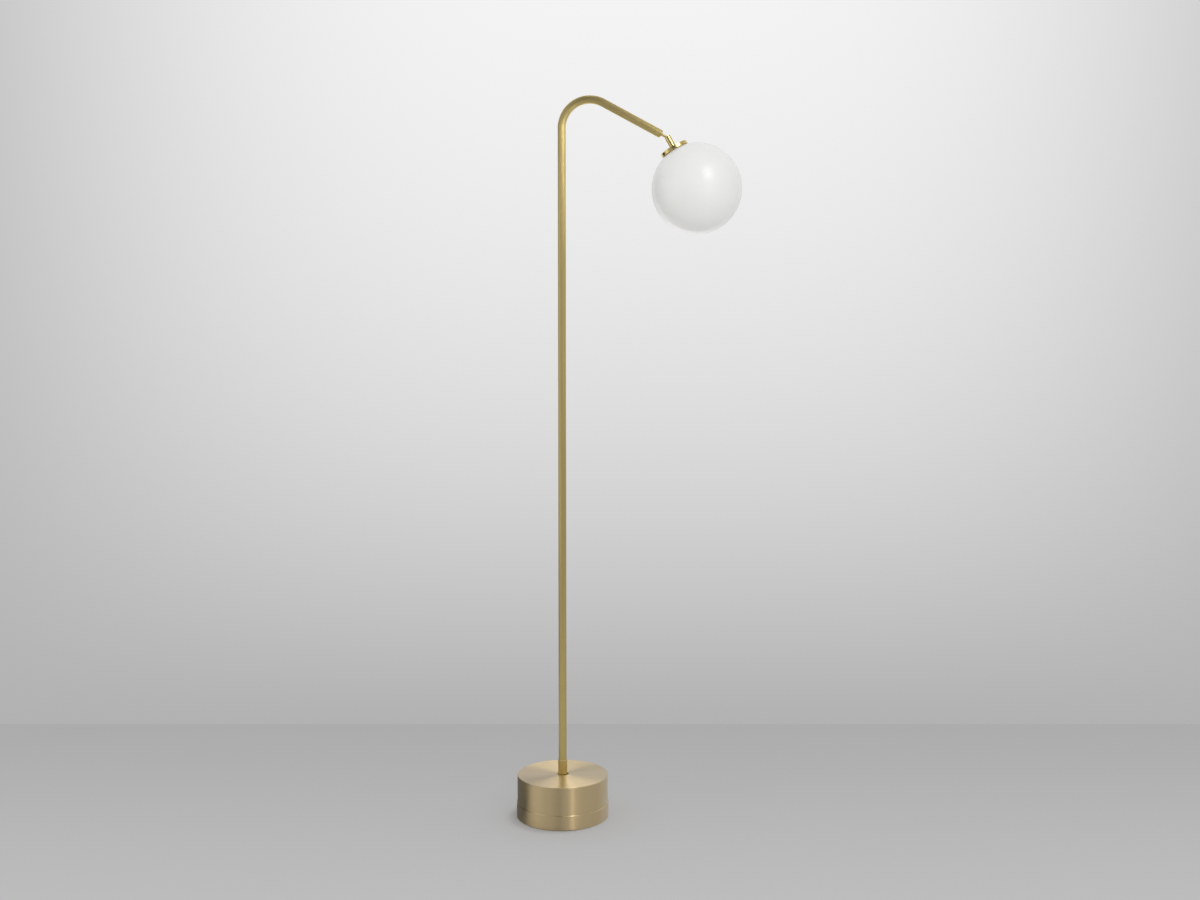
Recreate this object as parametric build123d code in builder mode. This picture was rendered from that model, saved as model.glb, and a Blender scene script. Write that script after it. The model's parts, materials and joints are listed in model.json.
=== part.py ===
from build123d import *
import os
from math import cos, radians, sin

# Globe floor lamp: a cane-shaped brass stem on a two-tier round base, and an opal globe that hangs
# from a slotted ball joint at the end of the arm.
#
# Millimetres and degrees. +Z is up, +X runs along the arm, and +Y is the back, where the lead
# enters. The origin is on the pole's axis, on the surface that the lamp stands on.

# ---- Fits that every piece uses -----------------------------------------------------------------
fit = 0.05  # radial clearance of a shaft in its hole, threads included
clearance = 0.1

# ---- Stem ---------------------------------------------------------------------------------------
lamp_height = 1450  # to the top of the bend
tube_d = 16
tube_wall = 1.5
bend_radius = 56  # of the tube's centreline
arm_slope = 28.2  # below the horizontal
arm_length = 131  # from the bend to the plug's face

# ---- Base ---------------------------------------------------------------------------------------
base_ring_d = 187
base_ring_top = 30
base_ring_wall = 5.2
base_ring_foot = 0.8  # the ring ends this far above the floor, and the pad carries the lamp
base_ring_edge = 0.5
step_chamfer = 1.2

drum_d = 184
drum_top = 85
drum_wall = 3
drum_roof = 5
drum_edge = 0.6
recess_d = 24
recess_depth = 2

pad_d = 172
pad_thickness = 1.5
pad_edge = 0.4
plate_d = 181
plate_thickness = 2

plate_screw_circle = 124
plate_screw_count = 4
plate_screw_d = 5
plate_screw_head = 1.8  # height of its cone
plate_screw_length = 14
plate_screw_key = 3  # across the flats
plate_screw_key_depth = 1.6

weight_d = 176
weight_lower_top = 29
weight_shoulder = 32
weight_upper_d = 140
weight_edge = 4
pocket_d = 84
pocket_roof = 36
groove_width = 18
groove_top = 24

ferrule_d = 18.4
ferrule_height = 30  # above the drum
ferrule_floor = 8
ferrule_chamfer = 0.8

nipple_d = 10
nipple_bore = 7
nipple_edge = 0.5
nipple_tail = 8  # below the pocket's roof and its washer
washer_d = 30
washer_thickness = 2
locknut_flats = 17
locknut_height = 6

# ---- Lead inlet and terminals -------------------------------------------------------------------
gland_height = 14
gland_d = 10
gland_bore = 7
gland_flange_d = 14
gland_flange = 2.5
gland_edge = 0.8
gland_depth = 12.5
gland_spot_face = 1
gland_nut_flats = 14
gland_nut_height = 3.6
gland_nut_gap = 0.5

flex_d = 4.6
flex_core_d = 2.6
flex_end = -24  # before the plug's face, where the sheath stops and its cores go on

block_length = 20
block_height = 12
block_pitch = 8
block_poles = 3
block_rim = 2
block_edge = 1.5
wire_hole_d = 3.6
wire_hole_height = 4.5
screw_well_d = 3.4
screw_well = 4
clamp_screw_d = 3
clamp_screw_length = 3
clamp_screw_drop = 1  # below the block's top
clamp_screw_slot = 0.6

earth_screw_x = 28
earth_screw_d = 4
earth_screw_length = 9
earth_washer_d = 10
earth_washer = 1
earth_head_d = 7.6
earth_head = 2.6
earth_head_edge = 0.8
earth_slot_width = 1
earth_slot_depth = 1.2

# ---- End of the arm and ball stud ---------------------------------------------------------------
plug_flange = 2
plug_spigot = 14
plug_chamfer = 0.7
neck_length = 15.3  # from the plug's face to the ball's centre
neck_d = 5.6
collar_d = 7.2
collar_length = 1.2
collar_taper = 0.6
stud_shank_d = 6
stud_bore = 3.2
stud_tail = 6  # past the plug's spigot
stud_washer_d = 11
stud_washer_thickness = 0.8
stud_nut_flats = 10
stud_nut_height = 3.2
ball_d = 10

# ---- Ball socket: heights from here on are along the head's own axis, with 0 at the ball --------
head_lean = 29.8  # of that axis, from the vertical
ball_play = 0.05
barrel_d = 12.4
barrel_top = 3.7
barrel_rim = 0.6
slot_play = 0.3
seat_top = -3.6
seat_bottom = -8
seat_bore = 5.2
spring_count = 3
spring_d = 9.6
spring_bore = 5.6
spring_thickness = 0.4
spring_rise = 0.4
spring_pitch = 0.85

# ---- Cap, lamp holder and bulb ------------------------------------------------------------------
cap_top = -21.5
cap_height = 7
cap_d = 57.2
cap_edge = 0.6
cap_roof = 1.7
cap_recess_d = 48.6
cap_recess_edge = 0.8
cap_nipple_bore = 6.4
cap_nut_height = 2.6

bracket_width = 12
bracket_thickness = 1
bracket_bend = 1.6
bracket_tail = 4  # past the screws
holder_top = -29
holder_bottom = -49
holder_d = 23
holder_flats = 21.4
holder_edge = 1.5
holder_screw_height = -34
holder_screw_d = 3
holder_screw_depth = 5.5
holder_screw_head_d = 5.6
holder_screw_head = 1.8
cable_hole_d = 4.4
cable_hole_depth = 6
head_flex_top = -5.9
head_flex_d = 3.4
head_flex_entry = 4  # into the holder

pin_pitch = 9
pin_width = 2.8
pin_thickness = 1
pin_length = 11
pin_play = 0.3
bulb_base_d = 14
bulb_neck = -61
bulb_tip = -100
bulb_d = 16.4
bulb_wall = 1.2
bulb_column_d = 9
bulb_column_length = 30

# ---- Globe --------------------------------------------------------------------------------------
globe_centre = -115.3
globe_d = 180
glass_wall = 2.8
glass_neck_d = 48
glass_neck_wall = 3
gasket_thickness = 1
gasket_lip = 0.5

# ---- Heights that follow ------------------------------------------------------------------------
UPWARDS = (Align.CENTER, Align.CENTER, Align.MIN)
DOWNWARDS = (Align.CENTER, Align.CENTER, Align.MAX)

tube_r = tube_d / 2
bend_height = lamp_height - tube_r - bend_radius
plate_top = pad_thickness + plate_thickness
recess_floor = drum_top - recess_depth
stem_foot = recess_floor + ferrule_floor
nipple_foot = pocket_roof - washer_thickness - nipple_tail

gland_seat = base_ring_d / 2 - gland_spot_face
flex_turn = nipple_foot - plate_top - wire_hole_height  # radius of the lead's turn to the terminals
block_centre = -(flex_turn + block_length / 2)
block_top = plate_top + block_height

plug_back = -(plug_flange + plug_spigot)
washer_face = plug_back - clearance

cap_bottom = cap_top - cap_height
cap_ceiling = cap_top - cap_roof
cap_nipple_top = seat_bottom - spring_count * spring_pitch
glass_neck_top = cap_ceiling - gasket_thickness

# ---- Planes and axes ----------------------------------------------------------------------------
arm_dir = Vector(cos(radians(arm_slope)), 0, -sin(radians(arm_slope)))
arm_up = Vector(sin(radians(arm_slope)), 0, cos(radians(arm_slope)))
bend_end = Vector(bend_radius, 0, bend_height) + arm_up * bend_radius
arm_end = bend_end + arm_dir * arm_length
ball_centre = arm_end + arm_dir * neck_length

head_up = Vector(-sin(radians(head_lean)), 0, cos(radians(head_lean)))
head_out = Vector(cos(radians(head_lean)), 0, sin(radians(head_lean)))

# Planes square to an axis, for pieces built along it, and planes that hold it, for turned sections
arm_plane = Plane(origin=arm_end, x_dir=arm_up, z_dir=arm_dir)
arm_section = Plane(origin=arm_end, x_dir=arm_dir, z_dir=(0, -1, 0))
head_plane = Plane(origin=ball_centre, x_dir=head_out, z_dir=head_up)
head_section = Plane(origin=ball_centre, x_dir=head_out, z_dir=(0, -1, 0))
slot_plane = Plane(origin=ball_centre, x_dir=(0, -1, 0), z_dir=-head_out)
cross_plane = Plane(origin=ball_centre, x_dir=(0, 1, 0), z_dir=head_out)
inlet_plane = Plane(origin=(0, 0, gland_height), x_dir=(1, 0, 0), z_dir=(0, 1, 0))

arm_axis = Axis(origin=arm_end, direction=arm_dir)
head_axis = Axis(origin=ball_centre, direction=head_up)

# ---- Base: pad, plate, ring, weight and drum ----------------------------------------------------
with BuildPart() as base_pad:
    Cylinder(pad_d / 2, pad_thickness, align=UPWARDS)
    chamfer(base_pad.edges().group_by(Axis.Z)[0], pad_edge)

with BuildPart(Plane.XY.offset(pad_thickness)) as bottom_plate:
    Cylinder(plate_d / 2, plate_thickness, align=UPWARDS)
    underside = bottom_plate.faces().sort_by(Axis.Z)[0]
    with Locations(underside):
        with PolarLocations(plate_screw_circle / 2, plate_screw_count, start_angle=45):
            CounterSinkHole(
                plate_screw_d / 2 + clearance,
                plate_screw_d / 2 + plate_screw_head + clearance,
                counter_sink_angle=90,
            )

with BuildPart(Plane.XY.offset(pad_thickness)) as plate_screws:
    with PolarLocations(plate_screw_circle / 2, plate_screw_count, start_angle=45):
        Cylinder(plate_screw_d / 2, plate_screw_length, align=UPWARDS)
        Cone(
            plate_screw_d / 2 + plate_screw_head,
            plate_screw_d / 2,
            plate_screw_head,
            align=UPWARDS,
        )
    with BuildSketch(Plane.XY.offset(pad_thickness)):
        with PolarLocations(plate_screw_circle / 2, plate_screw_count, start_angle=45):
            RegularPolygon(plate_screw_key / 2, 6, major_radius=False)
    extrude(amount=plate_screw_key_depth, mode=Mode.SUBTRACT)

with BuildPart() as base_ring:
    outer = base_ring_d / 2
    inner = outer - base_ring_wall
    rebate = plate_d / 2 + clearance
    with BuildSketch(Plane.XZ):
        with BuildLine():
            Polyline(
                (inner, plate_top),
                (rebate, plate_top),
                (rebate, base_ring_foot),
                (outer - base_ring_edge, base_ring_foot),
                (outer, base_ring_foot + base_ring_edge),
                (outer, base_ring_top - step_chamfer),
                (outer - step_chamfer, base_ring_top),
                (inner, base_ring_top),
                close=True,
            )
        make_face()
    revolve(axis=Axis.Z)
    with Locations(inlet_plane.offset(outer)):
        CounterBoreHole(
            gland_d / 2 + fit,
            gland_flange_d / 2 + clearance,
            gland_spot_face,
            depth=2 * base_ring_wall,
        )

with BuildPart() as base_weight:
    roof = drum_top - drum_roof
    with BuildSketch(Plane.XZ):
        with BuildLine():
            Polyline(
                (nipple_d / 2 + clearance, pocket_roof),
                (pocket_d / 2, pocket_roof),
                (pocket_d / 2, plate_top),
                (weight_d / 2, plate_top),
                (weight_d / 2, weight_lower_top),
                (weight_upper_d / 2, weight_shoulder),
                (weight_upper_d / 2, roof - weight_edge),
                (weight_upper_d / 2 - weight_edge, roof),
                (nipple_d / 2 + clearance, roof),
                close=True,
            )
        make_face()
    revolve(axis=Axis.Z)
    # Groove from the pocket to the lead's inlet
    with BuildSketch(Plane.XY.offset(plate_top)):
        Rectangle(groove_width, weight_d, align=(Align.CENTER, Align.MIN))
    extrude(amount=groove_top - plate_top, mode=Mode.SUBTRACT)
    # Tapped holes for the plate's screws and the earth screw
    with BuildSketch(Plane.XY.offset(plate_top)):
        with PolarLocations(plate_screw_circle / 2, plate_screw_count, start_angle=45):
            Circle(plate_screw_d / 2 + fit)
    extrude(amount=plate_screw_length, mode=Mode.SUBTRACT)
    with BuildSketch(Plane.XY.offset(pocket_roof)):
        with Locations((earth_screw_x, 0)):
            Circle(earth_screw_d / 2 + fit)
    extrude(amount=earth_screw_length + earth_washer, mode=Mode.SUBTRACT)

with BuildPart() as base_drum:
    outer = drum_d / 2
    with BuildSketch(Plane.XZ):
        with BuildLine():
            Polyline(
                (outer - drum_wall, base_ring_top),
                (outer, base_ring_top),
                (outer, drum_top - drum_edge),
                (outer - drum_edge, drum_top),
                (recess_d / 2, drum_top),
                (recess_d / 2, recess_floor),
                (nipple_d / 2 + clearance, recess_floor),
                (nipple_d / 2 + clearance, drum_top - drum_roof),
                (outer - drum_wall, drum_top - drum_roof),
                close=True,
            )
        make_face()
    revolve(axis=Axis.Z)

# ---- Lead inlet and terminals -------------------------------------------------------------------
with BuildPart(inlet_plane.offset(gland_seat)) as cord_gland:
    Cylinder(gland_d / 2, gland_depth, align=DOWNWARDS)
    Cylinder(gland_flange_d / 2, gland_flange, align=UPWARDS)
    chamfer(cord_gland.edges().group_by(Axis.Y)[-1], gland_edge)
    Cylinder(gland_bore / 2, gland_depth, align=DOWNWARDS, mode=Mode.SUBTRACT)
    Cylinder(gland_bore / 2, gland_flange, align=UPWARDS, mode=Mode.SUBTRACT)
    mouth = cord_gland.edges().filter_by(GeomType.CIRCLE).group_by(Axis.Y)[-1].sort_by(SortBy.RADIUS)[0]
    chamfer(mouth, gland_edge)

with BuildPart() as gland_nut:
    with BuildSketch(inlet_plane.offset(base_ring_d / 2 - base_ring_wall - gland_nut_gap)):
        RegularPolygon(gland_nut_flats / 2, 6, major_radius=False)
        Circle(gland_d / 2 + fit, mode=Mode.SUBTRACT)
    extrude(amount=-gland_nut_height)

with BuildPart(Plane.XY.offset(plate_top)) as terminal_block:
    with Locations((block_centre, 0)):
        Box(block_length, block_poles * block_pitch + block_rim, block_height, align=UPWARDS)
        chamfer(terminal_block.edges().filter_by(Axis.X).group_by(Axis.Z)[-1], block_edge)
    # A wire hole under each pair of clamp screws
    with BuildSketch(Plane.YZ.offset(-flex_turn)):
        with Locations((0, plate_top + wire_hole_height)):
            with GridLocations(block_pitch, 1, block_poles, 1):
                Circle(wire_hole_d / 2)
    extrude(amount=-block_length, mode=Mode.SUBTRACT)
    with BuildSketch(Plane.XY.offset(block_top)):
        with Locations((block_centre, 0)):
            with GridLocations(block_length / 2, block_pitch, 2, block_poles):
                Circle(screw_well_d / 2)
    extrude(amount=-screw_well, mode=Mode.SUBTRACT)

with BuildPart() as terminal_screws:
    with BuildSketch(Plane.XY.offset(block_top - clamp_screw_drop)):
        with Locations((block_centre, 0)):
            with GridLocations(block_length / 2, block_pitch, 2, block_poles):
                Circle(clamp_screw_d / 2)
    extrude(amount=-clamp_screw_length)
    with BuildSketch(Plane.XY.offset(block_top - clamp_screw_drop)):
        with Locations((block_centre, 0)):
            with GridLocations(block_length / 2, block_pitch, 2, block_poles):
                Rectangle(screw_well_d, clamp_screw_slot)
    extrude(amount=-clamp_screw_slot, mode=Mode.SUBTRACT)

with BuildPart(Plane.XY.offset(pocket_roof)) as earth_screw:
    with Locations((earth_screw_x, 0, 0)):
        Cylinder(earth_screw_d / 2, earth_screw_length, align=UPWARDS)
        Cylinder(earth_washer_d / 2, earth_washer, align=DOWNWARDS)
    with Locations((earth_screw_x, 0, -earth_washer)):
        Cylinder(earth_head_d / 2, earth_head, align=DOWNWARDS)
    chamfer(earth_screw.edges().group_by(Axis.Z)[0], earth_head_edge)
    with Locations((earth_screw_x, 0, -earth_washer - earth_head)):
        Box(earth_head_d, earth_slot_width, 2 * earth_slot_depth, mode=Mode.SUBTRACT)

# ---- Stem: ferrule, threaded nipple, tube and the lead inside it --------------------------------
with BuildPart(Plane.XY.offset(recess_floor)) as stem_ferrule:
    Cylinder(ferrule_d / 2, recess_depth + ferrule_height, align=UPWARDS)
    chamfer(stem_ferrule.edges().group_by(Axis.Z)[-1], ferrule_chamfer)
    with Locations((0, 0, ferrule_floor)):
        Cylinder(tube_r + fit, ferrule_height, align=UPWARDS, mode=Mode.SUBTRACT)
    Hole(nipple_d / 2 + fit)

with BuildPart(Plane.XY.offset(nipple_foot)) as stem_nipple:
    Cylinder(nipple_d / 2, stem_foot - nipple_foot, align=UPWARDS)
    chamfer(stem_nipple.edges().group_by(Axis.Z)[0], nipple_edge)
    Hole(nipple_bore / 2)

with BuildPart(Plane.XY.offset(pocket_roof)) as nipple_washer:
    Cylinder(washer_d / 2, washer_thickness, align=DOWNWARDS)
    Hole(nipple_d / 2 + clearance)

with BuildPart() as nipple_locknut:
    with BuildSketch(Plane.XY.offset(pocket_roof - washer_thickness)):
        RegularPolygon(locknut_flats / 2, 6, major_radius=False)
        Circle(nipple_d / 2 + fit, mode=Mode.SUBTRACT)
    extrude(amount=-locknut_height)

with BuildPart() as stem:
    with BuildLine(Plane.XZ):
        pole = Line((0, stem_foot), (0, bend_height))
        bend = JernArc(pole @ 1, pole % 1, bend_radius, -(90 + arm_slope))
        Line(bend @ 1, bend @ 1 + (bend % 1) * (arm_length - plug_flange))
    with BuildSketch(Plane.XY.offset(stem_foot)):
        Circle(tube_r)
        Circle(tube_r - tube_wall, mode=Mode.SUBTRACT)
    sweep()

with BuildPart() as stem_flex:
    # From the terminals up the pole, round the bend and down the arm
    with BuildLine(Plane.XZ):
        turn = JernArc((-flex_turn, nipple_foot - flex_turn), (1, 0), flex_turn, 90)
        rise = Line(turn @ 1, (0, bend_height))
        bend = JernArc(rise @ 1, rise % 1, bend_radius, -(90 + arm_slope))
        Line(bend @ 1, bend @ 1 + (bend % 1) * (arm_length + flex_end))
    with BuildSketch(Plane.YZ.offset(-flex_turn)):
        with Locations((0, nipple_foot - flex_turn)):
            Circle(flex_d / 2)
    sweep()
    with Locations(arm_plane.offset(flex_end)):
        Cylinder(flex_core_d / 2, neck_length - flex_end, align=UPWARDS)

# ---- End of the arm: plug, and the ball stud with what keeps it there ---------------------------
with BuildPart(arm_plane) as arm_end_plug:
    Cylinder(tube_r, plug_flange, align=DOWNWARDS)
    chamfer(arm_end_plug.edges().filter_by(GeomType.CIRCLE).sort_by(arm_axis)[-1], plug_chamfer)
    with Locations((0, 0, -plug_flange)):
        Cylinder(tube_r - tube_wall - fit, plug_spigot, align=DOWNWARDS)
    Hole(stud_shank_d / 2 + fit)

with BuildPart(arm_plane.offset(washer_face)) as stud_washer:
    Cylinder(stud_washer_d / 2, stud_washer_thickness, align=DOWNWARDS)
    Hole(stud_shank_d / 2 + fit)

with BuildPart() as stud_nut:
    with BuildSketch(arm_plane.offset(washer_face - stud_washer_thickness)):
        RegularPolygon(stud_nut_flats / 2, 6, major_radius=False)
        Circle(stud_shank_d / 2 + fit, mode=Mode.SUBTRACT)
    extrude(amount=-stud_nut_height)

with BuildPart() as ball_stud:
    # Shank, collar, waisted neck and ball, turned in one piece
    with BuildSketch(arm_section):
        with BuildLine():
            Polyline(
                (neck_length, 0),
                (plug_back - stud_tail, 0),
                (plug_back - stud_tail, stud_shank_d / 2),
                (clearance, stud_shank_d / 2),
                (clearance, collar_d / 2),
                (collar_length, collar_d / 2),
                (collar_length + collar_taper, neck_d / 2),
                (neck_length, neck_d / 2),
                close=True,
            )
        make_face()
    revolve(axis=arm_axis)
    with Locations(arm_plane.offset(neck_length)):
        Sphere(ball_d / 2)
    # Bored through for the lead's cores
    with Locations(arm_plane):
        Cylinder(stud_bore / 2, 4 * neck_length, mode=Mode.SUBTRACT)

# ---- Ball socket: barrel with its slot, seat and springs ----------------------------------------
with BuildPart(head_plane.offset(cap_top)) as knuckle_barrel:
    Cylinder(barrel_d / 2, barrel_top - cap_top, align=UPWARDS)
    rim = knuckle_barrel.edges().filter_by(GeomType.CIRCLE).sort_by(head_axis)[-1]
    fillet(rim, barrel_rim)
    Cylinder(ball_d / 2 + ball_play, -cap_top, align=UPWARDS, mode=Mode.SUBTRACT)
    with Locations((0, 0, -cap_top)):
        Sphere(ball_d / 2 + ball_play, mode=Mode.SUBTRACT)
    # The slot lets the neck lie over to a right angle, on the arm's side alone
    slot_r = neck_d / 2 + slot_play
    with BuildSketch(slot_plane):
        Circle(slot_r)
        Rectangle(2 * slot_r, ball_d, align=(Align.CENTER, Align.MIN))
    extrude(amount=barrel_d, mode=Mode.SUBTRACT)

with BuildPart(head_plane) as ball_seat:
    with Locations((0, 0, seat_top)):
        Cylinder(ball_d / 2 - fit, seat_top - seat_bottom, align=DOWNWARDS)
    Sphere(ball_d / 2 + ball_play, mode=Mode.SUBTRACT)
    Hole(seat_bore / 2)

with BuildPart() as disc_springs:
    # Cone washers, turned over by turns so that they meet rim to rim and bore to bore
    with BuildSketch(head_section):
        for number in range(spring_count):
            top = seat_bottom - number * spring_pitch
            bore_drop = spring_rise * (number % 2)
            rim_drop = spring_rise - bore_drop
            with BuildLine():
                Polyline(
                    (spring_bore / 2, top - bore_drop),
                    (spring_d / 2, top - rim_drop),
                    (spring_d / 2, top - rim_drop - spring_thickness),
                    (spring_bore / 2, top - bore_drop - spring_thickness),
                    close=True,
                )
            make_face()
    revolve(axis=head_axis)

# ---- Cap, and what hangs under it ---------------------------------------------------------------
with BuildPart(head_plane.offset(cap_nipple_top)) as cap_nipple:
    Cylinder(nipple_d / 2, cap_nipple_top - cap_bottom, align=DOWNWARDS)
    Hole(cap_nipple_bore / 2)

with BuildPart() as cap:
    outer = cap_d / 2
    recess = cap_recess_d / 2
    with BuildSketch(head_section):
        with BuildLine():
            Polyline(
                (nipple_d / 2 + fit, cap_top),
                (outer - cap_edge, cap_top),
                (outer, cap_top - cap_edge),
                (outer, cap_bottom + cap_edge),
                (outer - cap_edge, cap_bottom),
                (recess + cap_recess_edge, cap_bottom),
                (recess, cap_bottom + cap_recess_edge),
                (recess, cap_ceiling),
                (nipple_d / 2 + fit, cap_ceiling),
                close=True,
            )
        make_face()
    revolve(axis=head_axis)

with BuildPart(head_plane) as holder_bracket:
    # A strap bent down at both ends
    with Locations((0, 0, cap_ceiling)):
        Box(
            holder_flats + 2 * bracket_thickness,
            bracket_width,
            cap_ceiling - holder_screw_height + bracket_tail,
            align=DOWNWARDS,
        )
    fillet(holder_bracket.edges().filter_by(Axis.Y).sort_by(head_axis)[-2:], bracket_bend)
    with Locations((0, 0, cap_ceiling - bracket_thickness)):
        Box(holder_flats, bracket_width, 2 * holder_d, align=DOWNWARDS, mode=Mode.SUBTRACT)
    Hole(nipple_d / 2 + fit)
    with BuildSketch(cross_plane):
        with Locations((0, holder_screw_height)):
            Circle(holder_screw_d / 2 + clearance)
    extrude(amount=holder_d, both=True, mode=Mode.SUBTRACT)

with BuildPart() as cap_locknut:
    with BuildSketch(head_plane.offset(cap_ceiling - bracket_thickness)):
        RegularPolygon(gland_nut_flats / 2, 6, major_radius=False)
        Circle(nipple_d / 2 + fit, mode=Mode.SUBTRACT)
    extrude(amount=-cap_nut_height)

with BuildPart(head_plane.offset(holder_top)) as lamp_holder:
    # A ceramic body with two flats, a hole for the lead and two slots for the bulb's pins
    Cylinder(holder_d / 2, holder_top - holder_bottom, align=DOWNWARDS)
    chamfer(lamp_holder.edges().filter_by(GeomType.CIRCLE).sort_by(head_axis)[-1], holder_edge)
    Box(holder_flats, holder_d, 2 * holder_d, mode=Mode.INTERSECT)
    Cylinder(cable_hole_d / 2, cable_hole_depth, align=DOWNWARDS, mode=Mode.SUBTRACT)
    with BuildSketch(head_plane.offset(holder_bottom)):
        with GridLocations(pin_pitch, 1, 2, 1):
            Rectangle(pin_thickness + 2 * pin_play, pin_width + 2 * pin_play)
    extrude(amount=pin_length + 1, mode=Mode.SUBTRACT)
    for side in (1, -1):
        with BuildSketch(cross_plane.offset(side * holder_flats / 2)):
            with Locations((0, holder_screw_height)):
                Circle(holder_screw_d / 2 + fit)
        extrude(amount=-side * holder_screw_depth, mode=Mode.SUBTRACT)

with BuildPart() as holder_screws:
    for side in (1, -1):
        with BuildSketch(cross_plane.offset(side * (holder_flats / 2 + bracket_thickness))):
            with Locations((0, holder_screw_height)):
                Circle(holder_screw_head_d / 2)
        extrude(amount=side * holder_screw_head)
        with BuildSketch(cross_plane.offset(side * (holder_flats / 2 + bracket_thickness))):
            with Locations((0, holder_screw_height)):
                Circle(holder_screw_d / 2)
        extrude(amount=-side * holder_screw_depth)

with BuildPart(head_plane) as head_flex:
    with Locations((0, 0, head_flex_top)):
        Cylinder(head_flex_d / 2, head_flex_top - holder_top + head_flex_entry, align=DOWNWARDS)

# ---- Bulb: a pin-based capsule ------------------------------------------------------------------
with BuildPart(head_plane) as bulb_base:
    # Collar under the holder, with the two pins above it and the light-giving column below
    with Locations((0, 0, holder_bottom)):
        Cylinder(bulb_base_d / 2, holder_bottom - bulb_neck, align=DOWNWARDS)
        with GridLocations(pin_pitch, 1, 2, 1):
            Box(pin_thickness, pin_width, pin_length, align=UPWARDS)
    with Locations((0, 0, bulb_neck)):
        Cylinder(bulb_column_d / 2, bulb_column_length, align=DOWNWARDS)

with BuildPart(head_plane.offset(bulb_tip + bulb_d / 2)) as bulb:
    # A frosted tube with a round end
    for radius, mode in ((bulb_d / 2, Mode.ADD), (bulb_d / 2 - bulb_wall, Mode.SUBTRACT)):
        Sphere(radius, mode=mode)
        Cylinder(radius, bulb_neck - bulb_tip - bulb_d / 2, align=UPWARDS, mode=mode)

# ---- Globe and its gasket -----------------------------------------------------------------------
with BuildPart(head_plane.offset(globe_centre)) as globe:
    # A blown ball with a short neck that screws into the cap's recess
    Sphere(globe_d / 2)
    Cylinder(glass_neck_d / 2, glass_neck_top - globe_centre, align=UPWARDS)
    Sphere(globe_d / 2 - glass_wall, mode=Mode.SUBTRACT)
    Cylinder(
        glass_neck_d / 2 - glass_neck_wall,
        glass_neck_top - globe_centre,
        align=UPWARDS,
        mode=Mode.SUBTRACT,
    )

with BuildPart(head_plane.offset(glass_neck_top)) as globe_gasket:
    Cylinder(glass_neck_d / 2, gasket_thickness, align=UPWARDS)
    Hole(glass_neck_d / 2 - glass_neck_wall - gasket_lip)

# ---- Every piece in its own file ----------------------------------------------------------------
pieces = {
    "base_pad": base_pad,
    "bottom_plate": bottom_plate,
    "plate_screws": plate_screws,
    "base_ring": base_ring,
    "base_weight": base_weight,
    "base_drum": base_drum,
    "cord_gland": cord_gland,
    "gland_nut": gland_nut,
    "terminal_block": terminal_block,
    "terminal_screws": terminal_screws,
    "earth_screw": earth_screw,
    "stem_ferrule": stem_ferrule,
    "stem_nipple": stem_nipple,
    "nipple_washer": nipple_washer,
    "nipple_locknut": nipple_locknut,
    "stem": stem,
    "stem_flex": stem_flex,
    "arm_end_plug": arm_end_plug,
    "stud_washer": stud_washer,
    "stud_nut": stud_nut,
    "ball_stud": ball_stud,
    "knuckle_barrel": knuckle_barrel,
    "ball_seat": ball_seat,
    "disc_springs": disc_springs,
    "cap_nipple": cap_nipple,
    "cap": cap,
    "cap_locknut": cap_locknut,
    "holder_bracket": holder_bracket,
    "holder_screws": holder_screws,
    "lamp_holder": lamp_holder,
    "head_flex": head_flex,
    "bulb_base": bulb_base,
    "bulb": bulb,
    "globe": globe,
    "globe_gasket": globe_gasket,
}

os.makedirs("parts", exist_ok=True)
for name, piece in pieces.items():
    piece.part.label = name
    export_step(piece.part, f"parts/{name}.step")
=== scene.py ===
"""Globe floor lamp: finishes, the drawn tube and the studio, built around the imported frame."""

import json
import math

import bpy
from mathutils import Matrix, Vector


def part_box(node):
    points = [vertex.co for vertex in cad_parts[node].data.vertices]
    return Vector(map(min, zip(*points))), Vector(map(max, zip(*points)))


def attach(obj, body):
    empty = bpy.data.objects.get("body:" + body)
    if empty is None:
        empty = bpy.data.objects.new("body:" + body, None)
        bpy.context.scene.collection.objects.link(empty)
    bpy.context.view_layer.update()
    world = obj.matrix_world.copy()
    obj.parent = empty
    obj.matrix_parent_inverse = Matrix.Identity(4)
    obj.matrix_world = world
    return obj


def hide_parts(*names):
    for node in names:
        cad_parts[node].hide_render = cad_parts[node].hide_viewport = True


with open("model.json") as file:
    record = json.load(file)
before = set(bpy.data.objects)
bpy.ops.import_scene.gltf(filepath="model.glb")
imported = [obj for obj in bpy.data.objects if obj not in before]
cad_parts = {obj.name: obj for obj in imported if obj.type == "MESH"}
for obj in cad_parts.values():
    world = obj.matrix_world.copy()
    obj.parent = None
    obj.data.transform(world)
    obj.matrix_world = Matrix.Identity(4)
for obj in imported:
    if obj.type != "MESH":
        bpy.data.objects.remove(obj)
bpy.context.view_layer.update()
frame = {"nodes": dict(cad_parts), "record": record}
nodes = frame["nodes"]

TUBE_RADIUS = 0.008
TUBE_WALL = 0.0015
BEND_RADIUS = 0.056
ARM_SLOPE = math.radians(28.2)
TUBE_SIDES = 96
BEND_STEPS = 64
POLE_STEPS = 12
ARM_STEPS = 4
END_STEP = 0.0003  # the last ring before each end, so that the shading doesn't bend there

AMBIENT = 0.78  # the room's level for diffuse light
BACKGROUND = 0.45  # the room's level for the camera
HORIZON = 0.40  # the room's level in reflections, low down
OVERHEAD_GAIN = 0.08
# Each patch's middle in degrees from the front towards the right, its width in degrees, and its gain.
ROOM_PATCHES = ((35, 20, 0.05), (105, 24, -0.12), (-8, 15, -0.38))

FLOOR_REACH = 9
FLOOR_BACK, FLOOR_FRONT, FLOOR_NEAR = 0.448, 0.572, 0.40  # tone behind the lamp, in front, near the camera
FLOOR_GLOW = 0.5  # the share of the floor's brightness that is its own
FADE_LEFT, FADE_FORWARD = 0.015, 0.01  # how far the fade of that share lies off the lamp
FADE_INNER, FADE_OUTER = 0.083, 0.105

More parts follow.
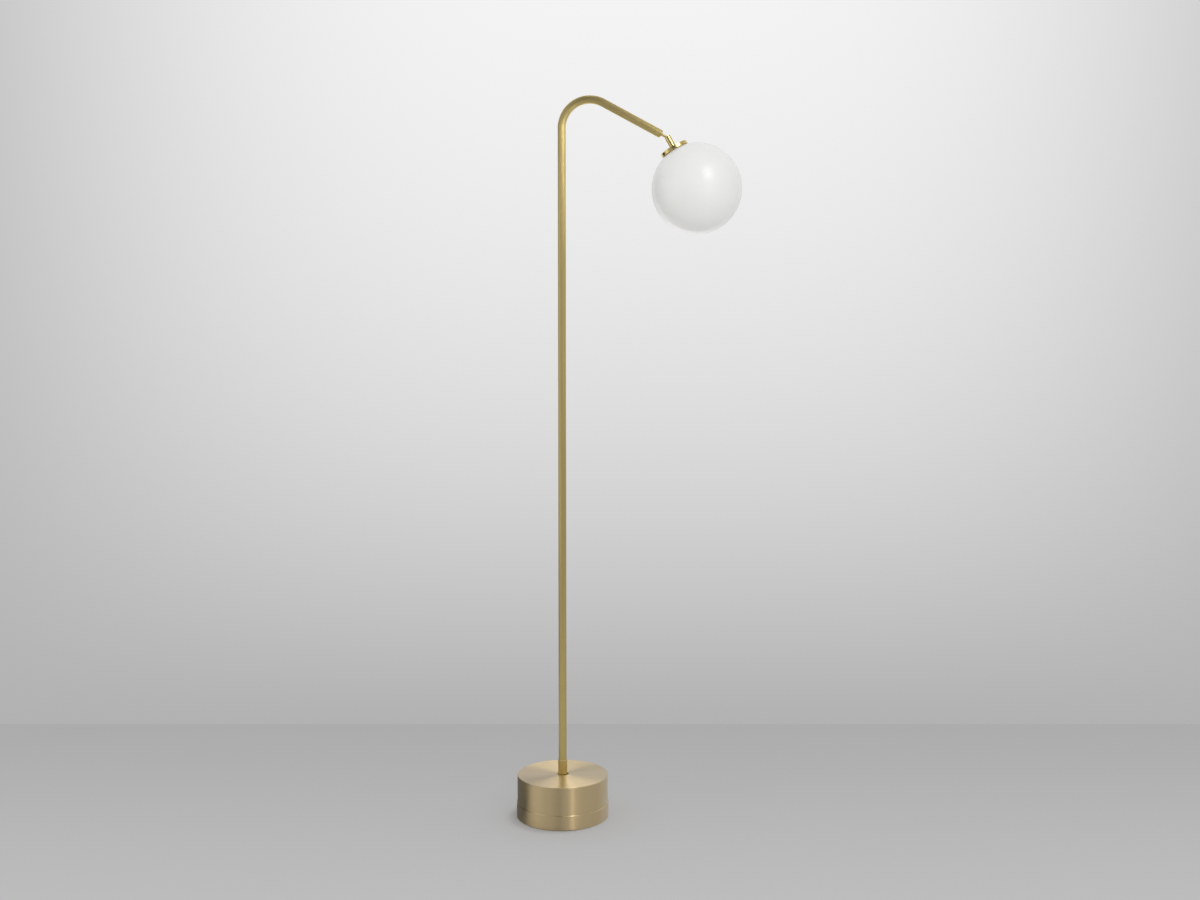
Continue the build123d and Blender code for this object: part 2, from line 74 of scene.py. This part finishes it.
WALL_Y = 0.667
WALL_MIDDLE = 0.16
WALL_HALF_WIDTH, WALL_HEIGHT = 3, 3.2
WALL_FOOT = 0.444  # the backdrop's level at the floor
WALL_GLOW = 0.631  # its gain high up in the middle
WALL_LOSS = 0.114  # its loss high up, all across
WALL_EDGE_MIDDLE, WALL_EDGE_START, WALL_EDGE_END = 0.08, 2.0, 2.8

CAMERA_PLACE = (0.076, -2.412, 0.864)
CAMERA_DIP = 2.81  # degrees below level


# ---- Shader sums ------------------------------------------------------------------------------
class Term:
    """A socket that takes part in Python sums. Each operator adds its Math node."""

    def __init__(self, finish, socket):
        self.finish = finish
        self.socket = socket

    def sum(self, operation, *terms):
        return self.finish.node("ShaderNodeMath", {"operation": operation}, dict(enumerate(terms)))

    def __add__(self, other):
        return self.sum("ADD", self, other)

    def __sub__(self, other):
        return self.sum("SUBTRACT", self, other)

    def __rsub__(self, other):
        return self.sum("SUBTRACT", other, self)

    def __mul__(self, other):
        return self.sum("MULTIPLY", self, other)

    def __truediv__(self, other):
        return self.sum("DIVIDE", self, other)

    def __pow__(self, other):
        return self.sum("POWER", self, other)

    def __abs__(self):
        return self.sum("ABSOLUTE", self)

    def __neg__(self):
        return self * -1

    def most(self, other):
        return self.sum("MAXIMUM", self, other)

    def exp(self):
        return self.sum("EXPONENT", self)

    def fade(self, start, end):
        """0 at start and 1 at end, smooth between."""
        settings = {"interpolation_type": "SMOOTHSTEP"}
        return self.finish.node("ShaderNodeMapRange", settings, {0: self, 1: start, 2: end})

    def scaled(self, by):
        """A vector term times a vector."""
        return self.finish.node("ShaderNodeVectorMath", {"operation": "MULTIPLY"}, {0: self, 1: by})


class Finish:
    """A material or world, and the nodes that make it."""

    def __init__(self, owner):
        self.owner = owner
        owner.use_nodes = True
        self.tree = owner.node_tree
        self.tree.nodes.clear()

    def node(self, kind, settings=None, sockets=None, output=0):
        """Adds a node: its settings first, then its sockets' values and links."""
        made = self.tree.nodes.new(kind)
        for name, value in (settings or {}).items():
            setattr(made, name, value)
        for key, value in (sockets or {}).items():
            if isinstance(value, Term):
                self.tree.links.new(value.socket, made.inputs[key])
            else:
                made.inputs[key].default_value = value
        return Term(self, made.outputs[output])

    def axes(self, vector):
        return [self.node("ShaderNodeSeparateXYZ", None, {0: vector}, i) for i in range(3)]

    def vector(self, x, y, z):
        return self.node("ShaderNodeCombineXYZ", None, {0: x, 1: y, 2: z})

    def place(self):
        return self.node("ShaderNodeTexCoord", None, None, "Object")

    def attribute(self, name):
        return self.node("ShaderNodeAttribute", {"attribute_name": name}, None, "Vector")

    def noise(self, where, scale, detail):
        return self.node("ShaderNodeTexNoise", None, {"Vector": where, "Scale": scale, "Detail": detail})

    def mix(self, share, first, second):
        """Two colours mixed."""
        first, second = [c if isinstance(c, Term) else (*c, 1.0) for c in (first, second)]
        settings = {"data_type": "RGBA"}
        return self.node("ShaderNodeMix", settings, {0: share, 6: first, 7: second}, 2)

    def bump(self, height, distance, strength):
        sockets = {"Height": height, "Distance": distance, "Strength": strength}
        return self.node("ShaderNodeBump", None, sockets)

    def light_path(self, name):
        return self.node("ShaderNodeLightPath", None, None, name)

    def seen(self):
        """1 for the rays of camera, gloss and glass, else 0."""
        kinds = ("Camera", "Glossy", "Transmission")
        camera, gloss, glass = [self.light_path(f"Is {kind} Ray") for kind in kinds]
        return camera.most(gloss).most(glass)

    def principled(self, sockets):
        self.surface(self.node("ShaderNodeBsdfPrincipled", None, sockets))

    def surface(self, shader):
        world = isinstance(self.owner, bpy.types.World)
        made = self.tree.nodes.new("ShaderNodeOutputWorld" if world else "ShaderNodeOutputMaterial")
        self.tree.links.new(shader.socket, made.inputs["Surface"])


def new_finish(name):
    return Finish(bpy.data.materials.new(name))


def grey(level):
    return (level, level, level)


def shaded(colour, by):
    """A colour made lighter or darker."""
    return tuple(min(c * by, 1.0) for c in colour)


# ---- Finishes ---------------------------------------------------------------------------------
TUBE_BRASS = (0.77, 0.61, 0.25)
BASE_BRASS = (0.77, 0.585, 0.30)
TARNISH = (0.80, 0.66, 0.36)
TARNISH_SHARE = 0.35
BRUSH_LINES, BRUSH_STREAKS = 2600, 420  # noise cells per metre, across the brushing


def brushed_brass(name, brass, around, roughness, anisotropy, turn, lacquer):
    """Satin brass. The brushing runs round the piece's axis, or along the drawn tube."""
    finish = new_finish(name)
    place = finish.place()
    if around:
        x, y, z = finish.axes(place)
        radius = (x * x + y * y) ** 0.5
        line = finish.vector(x / radius * 3, y / radius * 3, (radius - z) * BRUSH_LINES)
        long = finish.vector(x / radius * 1.5, y / radius * 1.5, (radius - z) * BRUSH_STREAKS)
    else:
        grain = finish.attribute("grain")
        line = grain.scaled((14.0, 14.0, 10.0))
        long = grain.scaled((4.0, 4.0, 3.0))
    brushing = finish.noise(line, 1.0, 2.0)
    streaks = finish.noise(long, 1.0, 2.0)
    clouds = finish.noise(place, 24.0, 3.0)
    lines = (brushing - 0.5) * 0.6 + (streaks - 0.5) * 0.4
    tone = finish.mix(lines * 1.1 + 0.5, shaded(brass, 0.93), shaded(brass, 1.07))
    tarnish = finish.mix((clouds - 0.45) * 0.5, shaded(brass, 0.95), TARNISH)
    finish.principled({
        "Base Color": finish.mix(TARNISH_SHARE, tone, tarnish),
        "Metallic": 1.0,
        "Roughness": lines * 0.16 + (clouds - 0.5) * 0.06 + roughness,
        "Anisotropic": anisotropy,
        "Anisotropic Rotation": turn,
        "Normal": finish.bump(brushing, 0.000012, 0.35),
        "Coat Weight": lacquer,
        "Coat Roughness": 0.28,
        "Coat IOR": 1.7,
    })
    return finish.owner


def polished_brass(name, roughness):
    """Polished brass with a few faint buffing marks."""
    finish = new_finish(name)
    place = finish.place()
    marks = finish.noise(place.scaled((1.0, 1.0, 7.0)), 260.0, 3.0)
    clouds = finish.noise(place, 60.0, 3.0)
    finish.principled({
        "Base Color": finish.mix(clouds, shaded(TUBE_BRASS, 0.96), shaded(TUBE_BRASS, 1.05)),
        "Metallic": 1.0,
        "Roughness": (marks - 0.5) * 0.06 + (clouds - 0.5) * 0.05 + roughness,
        "Normal": finish.bump(marks, 0.00001, 0.12),
    })
    return finish.owner


def opal_glass(name):
    """White flashed glass: an even milky body under a fire-polished skin."""
    finish = new_finish(name)
    place = finish.place()
    milk = finish.noise(place, 9.0, 3.0)
    skin = finish.noise(place, 34.0, 2.0)
    finish.principled({
        "Base Color": finish.mix(milk, (0.84, 0.84, 0.83), (0.88, 0.88, 0.865)),
        "Roughness": (skin - 0.5) * 0.05 + 0.58,
        "IOR": 1.52,
        "Coat Weight": 0.5,
        "Coat Roughness": 0.07,
        "Normal": finish.bump(skin, 0.0004, 0.12),
    })
    return finish.owner


def moulded(name, colour, roughness, grain, depth, share, metallic=0.0, coat=0.0):
    """Cast, plated or moulded pieces: a tone that wanders a little over a fine grain."""
    finish = new_finish(name)
    place = finish.place()
    clouds = finish.noise(place, 45.0, 3.0)
    pores = finish.noise(place, grain, 2.0)
    finish.principled({
        "Base Color": finish.mix(clouds, shaded(colour, 1 - share), shaded(colour, 1 + share)),
        "Metallic": metallic,
        "Roughness": (pores - 0.5) * 0.12 + (clouds - 0.5) * 0.08 + roughness,
        "Coat Weight": coat,
        "Normal": finish.bump(pores, depth, 0.5),
    })
    return finish.owner


finishes = {
    "base": brushed_brass(
        "brass_brushed_round", BASE_BRASS, around=True,
        roughness=0.34, anisotropy=1.0, turn=0.25, lacquer=1.0,
    ),
    "collar": brushed_brass(
        "brass_turned_collar", TUBE_BRASS, around=True,
        roughness=0.41, anisotropy=0.94, turn=0.0, lacquer=0.4,
    ),
    "tube": brushed_brass(
        "brass_drawn_tube", TUBE_BRASS, around=False,
        roughness=0.41, anisotropy=0.94, turn=0.0, lacquer=0.12,
    ),
    "polished": polished_brass("brass_polished", 0.22),
    "opal": opal_glass("glass_opal"),
    "iron": moulded(
        "iron_cast_black", (0.035, 0.035, 0.038), roughness=0.62, grain=700.0, depth=0.00012, share=0.2
    ),
    "steel": moulded(
        "steel_zinc_plated", (0.56, 0.56, 0.55),
        roughness=0.34, grain=1600.0, depth=0.00001, share=0.07, metallic=1.0
    ),
    "pad": moulded(
        "rubber_foot", (0.035, 0.035, 0.036), roughness=0.82, grain=1100.0, depth=0.00008, share=0.15
    ),
    "black": moulded(
        "plastic_black", (0.03, 0.03, 0.031), roughness=0.46, grain=1500.0, depth=0.00003, share=0.1
    ),
    "white": moulded(
        "plastic_white", (0.78, 0.78, 0.75), roughness=0.42, grain=1300.0, depth=0.00002, share=0.03
    ),
    "sheath": moulded(
        "flex_sheath", (0.76, 0.76, 0.75), roughness=0.5, grain=900.0, depth=0.00003, share=0.03
    ),
    "ceramic": moulded(
        "ceramic_glazed", (0.82, 0.81, 0.77),
        roughness=0.22, grain=500.0, depth=0.00002, share=0.02, coat=0.5
    ),
    "diffuser": moulded(
        "bulb_frosted", (0.86, 0.86, 0.84), roughness=0.38, grain=1200.0, depth=0.00002, share=0.02
    ),
    "silicone": moulded(
        "silicone_clear", (0.68, 0.68, 0.66), roughness=0.55, grain=800.0, depth=0.00003, share=0.03
    ),
}

slot_finish = {
    "brushed_brass": "base",
    "polished_brass": "polished",
    "opal_glass": "opal",
    "iron_casting": "iron",
    "plated_steel": "steel",
    "foot_pad": "pad",
    "black_plastic": "black",
    "white_plastic": "white",
    "flex_sheath": "sheath",
    "holder_ceramic": "ceramic",
    "bulb_diffuser": "diffuser",
    "clear_silicone": "silicone",
}

own_finish = {"stem_ferrule": "collar", "arm_end_plug": "polished"}

for subpart in frame["record"]["subparts"]:
    piece = nodes[subpart["node"]]
    finish = own_finish.get(piece.name, slot_finish[subpart["material_slot"]])
    piece.data.materials.clear()
    piece.data.materials.append(finishes[finish])


# ---- The drawn tube ---------------------------------------------------------------------------
def tube_line():
    """Points, directions and lengths along the tube's centreline, from its foot to the arm's end."""
    low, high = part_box("stem")
    foot = low.z
    bend_start = high.z - TUBE_RADIUS - BEND_RADIUS
    turn = math.pi / 2 + ARM_SLOPE
    arm = Vector((math.cos(ARM_SLOPE), 0, -math.sin(ARM_SLOPE)))
    bend_x = BEND_RADIUS * (1 + math.sin(ARM_SLOPE))
    bend_end = Vector((bend_x, 0, bend_start + BEND_RADIUS * math.cos(ARM_SLOPE)))
    reach = (high.x - TUBE_RADIUS * math.sin(ARM_SLOPE) - bend_end.x) / arm.x
    line = []
    pole = bend_start - foot
    for s in [0, END_STEP] + [pole * i / POLE_STEPS for i in range(1, POLE_STEPS)]:
        line.append((Vector((0, 0, foot + s)), Vector((0, 0, 1)), s))
    along = pole
    for i in range(BEND_STEPS):
        a = turn * i / BEND_STEPS
        point = Vector((BEND_RADIUS * (1 - math.cos(a)), 0, bend_start + BEND_RADIUS * math.sin(a)))
        line.append((point, Vector((math.sin(a), 0, math.cos(a))), along + BEND_RADIUS * a))
    along += BEND_RADIUS * turn
    for s in [reach * i / ARM_STEPS for i in range(ARM_STEPS)] + [reach - END_STEP, reach]:
        line.append((bend_end + arm * s, arm, along + s))
    return line


def drawn_tube():
    """The stem as one seamless tube with its bore, and the direction of its grain."""
    line = tube_line()
    side = Vector((0, 1, 0))
    points, grain, faces = [], [], []
    for radius in (TUBE_RADIUS, TUBE_RADIUS - TUBE_WALL):
        for point, direction, along in line:
            out = side.cross(direction)
            for i in range(TUBE_SIDES):
                a = math.tau * i / TUBE_SIDES
                points.append(point + (out * math.cos(a) + side * math.sin(a)) * radius)
                grain.append((math.cos(a), math.sin(a), along))
    rings = len(line)

    def corner(wall, ring, i):
        return (wall * rings + ring) * TUBE_SIDES + i % TUBE_SIDES

    for ring in range(rings - 1):
        for i in range(TUBE_SIDES):
            loop = [(ring, i), (ring, i + 1), (ring + 1, i + 1), (ring + 1, i)]
            faces.append([corner(0, *at) for at in loop])
            faces.append([corner(1, *at) for at in (loop[0], loop[3], loop[2], loop[1])])
    last = rings - 1
    for i in range(TUBE_SIDES):
        faces.append([corner(0, 0, i), corner(1, 0, i), corner(1, 0, i + 1), corner(0, 0, i + 1)])
        faces.append([corner(0, last, i), corner(0, last, i + 1), corner(1, last, i + 1), corner(1, last, i)])
    mesh = bpy.data.meshes.new("stem_tube")
    mesh.from_pydata(points, [], faces)
    ends = len(faces) - 2 * TUBE_SIDES
    mesh.polygons.foreach_set("use_smooth", [i < ends for i in range(len(faces))])
    directions = mesh.attributes.new("grain", "FLOAT_VECTOR", "POINT")
    directions.data.foreach_set("vector", [c for g in grain for c in g])
    mesh.materials.append(finishes["tube"])
    mesh.update()
    # A texture space far off to the side makes the shader's tangent run round the tube everywhere.
    mesh.use_auto_texspace = False
    mesh.texspace_location = (-1000, 0, 0)
    mesh.texspace_size = (1, 1, 1)
    return mesh


stem_tube = bpy.data.objects.new("stem_tube", drawn_tube())
bpy.context.scene.collection.objects.link(stem_tube)
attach(stem_tube, "stand")
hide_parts("stem")


# ---- Floor and backdrop -----------------------------------------------------------------------
def panel(name, corners, finish):
    mesh = bpy.data.meshes.new(name)
    mesh.from_pydata(corners, [], [tuple(range(len(corners)))])
    mesh.materials.append(finish)
    piece = bpy.data.objects.new(name, mesh)
    bpy.context.scene.collection.objects.link(piece)
    return piece


def floor_finish():
    """Pale matt floor that throws light back on the lamp, lightest in front and darker near the camera."""
    finish = new_finish("studio_floor")
    x, y = finish.axes(finish.place())[:2]
    front = y.fade(0.8, -0.9)
    grain = finish.noise(finish.place(), 3.0, 2.0)
    # Painted light falloff: the floor is painted lighter in front of the lamp, and darker behind it and near
    # the camera.
    tone = finish.mix(front, grey(FLOOR_BACK), grey(FLOOR_FRONT))
    tone = finish.mix(y.fade(-0.6, -2.6), tone, grey(FLOOR_NEAR))
    cloudy = finish.mix(grain * 0.04, tone, grey(0.7))
    matt = finish.node("ShaderNodeBsdfPrincipled", None, {
        "Base Color": finish.mix(finish.seen(), (0.8, 0.8, 0.79), cloudy),
        "Roughness": 0.9,
        "Specular IOR Level": 0.1,
    })
    even = finish.node("ShaderNodeEmission", None, {"Color": cloudy, "Strength": 0.97})
    # Close to the base the floor's own light fades out, which brings out the shadow there. The middle of the
    # fade is off to the left and front, because the photo's contact shadow is on that side.
    reach = ((x + FADE_LEFT) ** 2 + (y + FADE_FORWARD) ** 2) ** 0.5
    share = finish.seen() * (reach.fade(FADE_INNER, FADE_OUTER) * FLOOR_GLOW)
    finish.surface(finish.node("ShaderNodeMixShader", None, {0: share, 1: matt, 2: even}))
    return finish.owner


def wall_finish():
    """Pale backdrop that is lightest high in the middle, and only there from the front."""
    finish = new_finish("studio_backdrop")
    x, _, z = finish.axes(finish.place())
    # Painted light: the backdrop glows lightest high in the middle, as a pool of light from above would make
    # it.
    glow = (abs(x - WALL_MIDDLE) ** 3 * -0.2).exp()
    height = 1 - (-(z ** 1.25)).exp()
    level = height * glow * WALL_GLOW - height * WALL_LOSS + WALL_FOOT
    colour = finish.vector(level, level, level)
    light = finish.node("ShaderNodeEmission", None, {"Color": colour, "Strength": 1.0})
    clear = finish.node("ShaderNodeBsdfTransparent")
    back = finish.node("ShaderNodeNewGeometry", None, None, "Backfacing")
    edge = 1 - abs(x - WALL_EDGE_MIDDLE).fade(WALL_EDGE_START, WALL_EDGE_END)
    shown = finish.seen() * (1 - back) * edge
    finish.surface(finish.node("ShaderNodeMixShader", None, {0: shown, 1: clear, 2: light}))
    return finish.owner


def rectangle(across, up):
    """Corners of a flat rectangle, given half its width and height."""
    return [(-across, -up, 0), (across, -up, 0), (across, up, 0), (-across, up, 0)]


panel("floor", rectangle(FLOOR_REACH, FLOOR_REACH), floor_finish())
panel("backdrop", [
    (-WALL_HALF_WIDTH, WALL_Y, 0),
    (WALL_HALF_WIDTH, WALL_Y, 0),
    (WALL_HALF_WIDTH, WALL_Y, WALL_HEIGHT),
    (-WALL_HALF_WIDTH, WALL_Y, WALL_HEIGHT),
], wall_finish())


# ---- Cards for the reflections ----------------------------------------------------------------
def card(name, middle, facing, size, level, soft):
    """A glowing card with soft edges. The camera and diffuse light don't see it, only reflections do."""
    finish = new_finish("studio_" + name)
    width, height = size
    x, y = finish.axes(finish.place())[:2]
    soft_across, soft_up = soft
    cover = (1 - abs(x) * (2 / width)).fade(0, soft_across) * (1 - abs(y) * (2 / height)).fade(0, soft_up)
    clear = finish.node("ShaderNodeBsdfTransparent")
    light = finish.node("ShaderNodeEmission", None, {"Color": (*grey(level), 1), "Strength": 1.0})
    finish.surface(finish.node("ShaderNodeMixShader", None, {0: cover, 1: clear, 2: light}))
    piece = panel(name, rectangle(width / 2, height / 2), finish.owner)
    piece.location = middle
    piece.rotation_mode = "QUATERNION"
    piece.rotation_quaternion = Vector(facing).to_track_quat("Z", "Y")
    piece.visible_camera = False
    piece.visible_diffuse = False
    piece.visible_shadow = False


# Set against the photo: a dark flag on the left, a dark sheet on the floor left of the base that is painted
# floor shadow for reflections only, a pale strip further out on that side, two bright cards at the front
# right for the highlights, and one behind for the top of the base.
card("flag", (-0.65, 0.30, 0.85), facing=(0.5, -0.87, 0), size=(0.86, 1.75), level=0.05, soft=(0.2, 0.2))
# Painted shadow: this dark sheet on the floor stands in, in reflections only, for the shaded floor left of
# the base.
card("shadow_sheet", (-0.24, 0.15, 0.001), facing=(0, 0, 1), size=(0.46, 0.50), level=0.11, soft=(0.3, 0.3))
card("strip", (-1.35, -0.47, 0.98), facing=(0.94, 0.33, 0), size=(1.8, 1.56), level=1.05, soft=(1.0, 0.3))
card("glow", (0.59, -0.70, 1.64), facing=(-0.38, 0.82, -0.41), size=(0.58, 0.9), level=6.8, soft=(1.0, 1.0))
card("lower_glow", (0.62, -0.72, 1.02), facing=(-0.45, 0.86, -0.1), size=(0.6, 1.3), level=1.3, soft=(1, 1))
card("sky", (0.1, 0.6, 0.86), facing=(0, -0.95, -0.3), size=(1.5, 0.9), level=2.3, soft=(1.0, 1.0))


def studio_room():
    """The room round the lamp: plain for the camera and for diffuse light, uneven in reflections."""
    finish = Finish(bpy.data.worlds.new("studio"))
    x, y, z = finish.axes(finish.node("ShaderNodeTexCoord", None, None, "Generated"))
    turn = finish.node("ShaderNodeMath", {"operation": "ARCTAN2"}, {0: x, 1: -y}) * (180 / math.pi)
    level = z.fade(-0.1, 0.9) * OVERHEAD_GAIN + HORIZON
    for middle, width, gain in ROOM_PATCHES:
        level = level + (((turn - middle) / width) ** 2 * -1).exp() * gain
    level = finish.seen() * (level - AMBIENT) + AMBIENT
    level = level + finish.light_path("Is Camera Ray") * (BACKGROUND - level)
    colour = finish.vector(level, level, level)
    finish.surface(finish.node("ShaderNodeBackground", None, {"Color": colour, "Strength": 1.0}))
    return finish.owner


bpy.context.scene.world = studio_room()


# ---- Lamps and camera -------------------------------------------------------------------------
globe_low, globe_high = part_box("globe")
globe_middle = (globe_low + globe_high) / 2


def softbox(name, direction, distance, size, level):
    """A lamp that faces the globe and lights it to about that level on its own."""
    light = bpy.data.lights.new(name, "AREA")
    light.shape = "ELLIPSE"
    light.size = light.size_y = size
    light.energy = 4 * math.pi * distance ** 2 * level
    lamp = bpy.data.objects.new(name, light)
    away = Vector(direction).normalized()
    lamp.location = globe_middle + away * distance
    lamp.rotation_mode = "QUATERNION"
    lamp.rotation_quaternion = away.to_track_quat("Z", "Y")
    lamp.visible_camera = False
    bpy.context.scene.collection.objects.link(lamp)
    return lamp


softbox("key", (0.385, -0.817, 0.427), distance=8.0, size=1.2, level=0.05)
softbox("overhead", (-0.05, -0.16, 0.985), distance=4.0, size=0.12, level=0.016)
softbox("right_fill", (0.75, 0.32, 0.58), distance=6.0, size=5.0, level=0.03).visible_diffuse = False
softbox("front_fill", (0.04, -0.96, 0.10), distance=8.0, size=2.2, level=0.12).visible_glossy = False

camera = bpy.data.cameras.new("camera")
camera.lens = 36
camera.sensor_width = 36
viewpoint = bpy.data.objects.new("camera", camera)
viewpoint.location = CAMERA_PLACE
viewpoint.rotation_euler = (math.radians(90 - CAMERA_DIP), 0, 0)
bpy.context.scene.collection.objects.link(viewpoint)
bpy.context.scene.camera = viewpoint
bpy.context.scene.view_settings.view_transform = "Standard"
